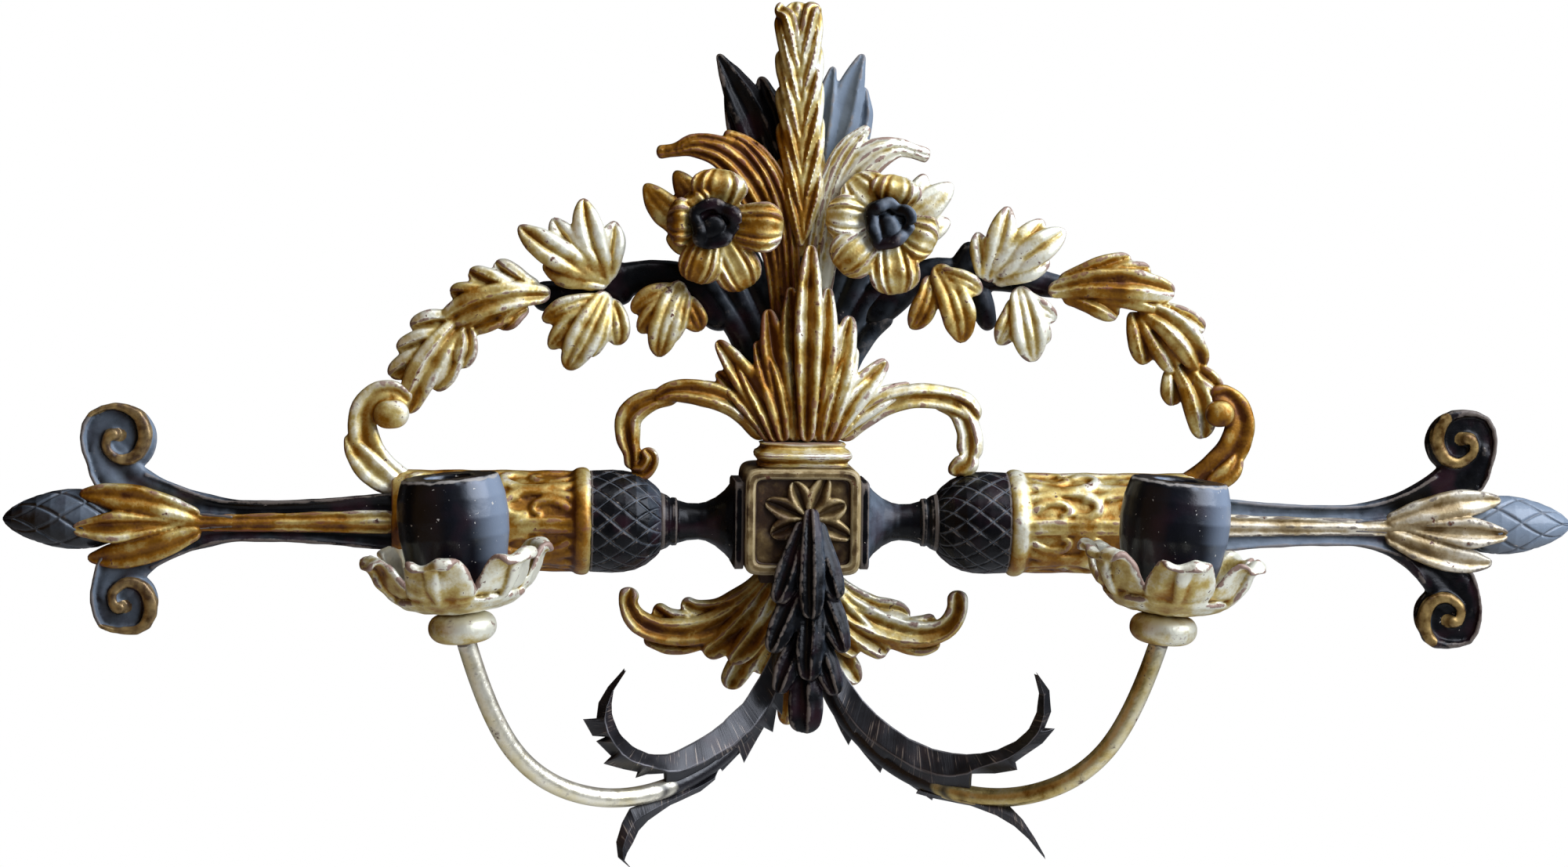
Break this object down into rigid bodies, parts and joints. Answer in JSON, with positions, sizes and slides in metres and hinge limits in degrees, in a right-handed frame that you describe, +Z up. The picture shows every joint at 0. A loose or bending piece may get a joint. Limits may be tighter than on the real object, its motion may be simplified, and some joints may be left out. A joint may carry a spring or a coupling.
{
  "type": "wall sconce candle holder",
  "caption": "Carved giltwood and ebonised wall sconce: a horizontal torch bar with scrolled ends, a leafy crest with flowers and wheat, and candle cups on curved iron arms.",
  "frame": {"origin": "on the wall plane, at the back of the central block, on the axis of the torch bar", "axes": "+X along the torch bar to the right, +Y into the wall, +Z up"},
  "size_m": [0.844, 0.1869, 0.454],
  "materials": {
    "gilded_wood": "water gilding over red bole on carved wood, aged and rubbed",
    "bronzed_wood": "toned bronze gilding on carved wood",
    "ebonised_wood": "ebonised carved wood, polished and rubbed at the edges",
    "black_cup_wood": "black lacquered turned wood with a worn rim",
    "gilt_iron": "gilded iron tube, worn",
    "blackened_sheet": "black painted sheet iron, scratched",
    "iron": "plain dark iron"
  },
  "bodies": {
    "root": {"arm_plate": "iron", "block": "bronzed_wood", "hanger_plates": "iron", "husk": "ebonised_wood", "left_acorn": "ebonised_wood", "left_arm": "gilt_iron", "left_back_leaf": "ebonised_wood", "left_bar": "ebonised_wood", "left_bracket": "gilded_wood", "left_branch": "ebonised_wood", "left_calyx": "gilded_wood", "left_curl_leaf": "gilded_wood", "left_drop_leaf": "gilded_wood", "left_flower": "gilded_wood", "left_flower_eye": "ebonised_wood", "left_flower_leaf": "gilded_wood", "left_inner_leaf": "gilded_wood", "left_knop": "gilded_wood", "left_pine_cone": "ebonised_wood", "left_sleeve": "gilded_wood", "left_spool": "ebonised_wood", "left_swag": "gilded_wood", "left_tendril": "gilded_wood", "left_tole_leaf": "blackened_sheet", "left_top_leaf": "gilded_wood", "left_under_spray": "gilded_wood", "neck_ring": "gilded_wood", "palmette": "gilded_wood", "right_acorn": "ebonised_wood", "right_arm": "gilt_iron", "right_back_leaf": "ebonised_wood", "right_bar": "ebonised_wood", "right_bracket": "gilded_wood", "right_branch": "ebonised_wood", "right_calyx": "gilded_wood", "right_curl_leaf": "gilded_wood", "right_drop_leaf": "gilded_wood", "right_flower": "gilded_wood", "right_flower_eye": "ebonised_wood", "right_flower_leaf": "gilded_wood", "right_inner_leaf": "gilded_wood", "right_knop": "gilded_wood", "right_pine_cone": "ebonised_wood", "right_sleeve": "gilded_wood", "right_spool": "ebonised_wood", "right_swag": "gilded_wood", "right_tendril": "gilded_wood", "right_tole_leaf": "blackened_sheet", "right_top_leaf": "gilded_wood", "right_under_spray": "gilded_wood", "rosette": "bronzed_wood", "socket_nuts": "iron", "trunk": "ebonised_wood", "under_drop": "gilded_wood", "wheat_ear": "gilded_wood", "wood_screws": "iron"},
    "left_pan": {"left_pan": "gilded_wood"},
    "right_pan": {"right_pan": "gilded_wood"},
    "left_cup": {"left_cup": "black_cup_wood"},
    "right_cup": {"right_cup": "black_cup_wood"}
  },
  "joints": [
    {"name": "left_pan_turn", "type": "hinge", "parent": "root", "child": "left_pan", "pos_m": [-0.18, -0.14, -0.035], "axis": [-0.0906, 0, 0.9959], "continuous": true},
    {"name": "left_cup_turn", "type": "hinge", "parent": "root", "child": "left_cup", "pos_m": [-0.18, -0.14, -0.035], "axis": [-0.0906, 0, 0.9959], "continuous": true},
    {"name": "right_pan_turn", "type": "hinge", "parent": "root", "child": "right_pan", "pos_m": [0.18, -0.14, -0.035], "axis": [0.0906, 0, 0.9959], "continuous": true},
    {"name": "right_cup_turn", "type": "hinge", "parent": "root", "child": "right_cup", "pos_m": [0.18, -0.14, -0.035], "axis": [0.0906, 0, 0.9959], "continuous": true}
  ]
}
